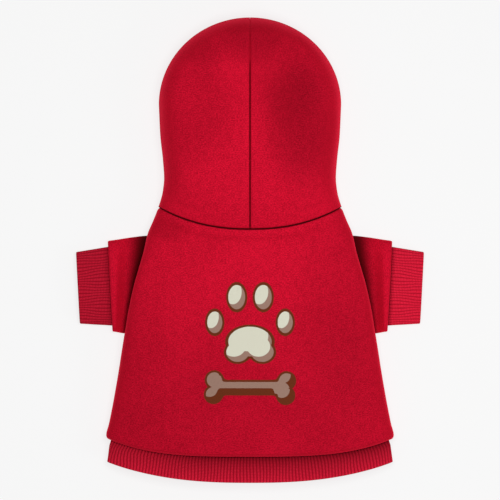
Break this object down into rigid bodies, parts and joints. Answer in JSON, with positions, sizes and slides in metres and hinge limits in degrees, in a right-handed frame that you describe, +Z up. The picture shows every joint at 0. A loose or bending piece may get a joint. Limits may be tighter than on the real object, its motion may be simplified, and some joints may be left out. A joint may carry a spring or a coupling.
{
  "type": "hooded dog sweatshirt",
  "caption": "Pullover sweatshirt for a small dog, with a two-panel hood, short sleeves with ribbed cuffs and a ribbed hem band, laid flat with the back up.",
  "frame": {"origin": "on the floor under the middle of the lying garment: the middle of its width and length, at the lowest height", "axes": "+Y along the garment from the hem to the hood's crown, +X across it, +Z up from the belly to the back"},
  "size_m": [0.3826, 0.5104, 0.0616],
  "materials": {
    "fleece": "matte brushed red sweatshirt fleece, finely heathered",
    "rib_knit": "matte red rib knit"
  },
  "bodies": {
    "root": {"back_panel": "fleece", "belly_panel": "fleece", "hood_left": "fleece", "hood_right": "fleece", "sleeve_left": "fleece", "sleeve_right": "fleece", "cuff_left": "rib_knit", "cuff_right": "rib_knit", "hem_band": "rib_knit"}
  },
  "joints": []
}
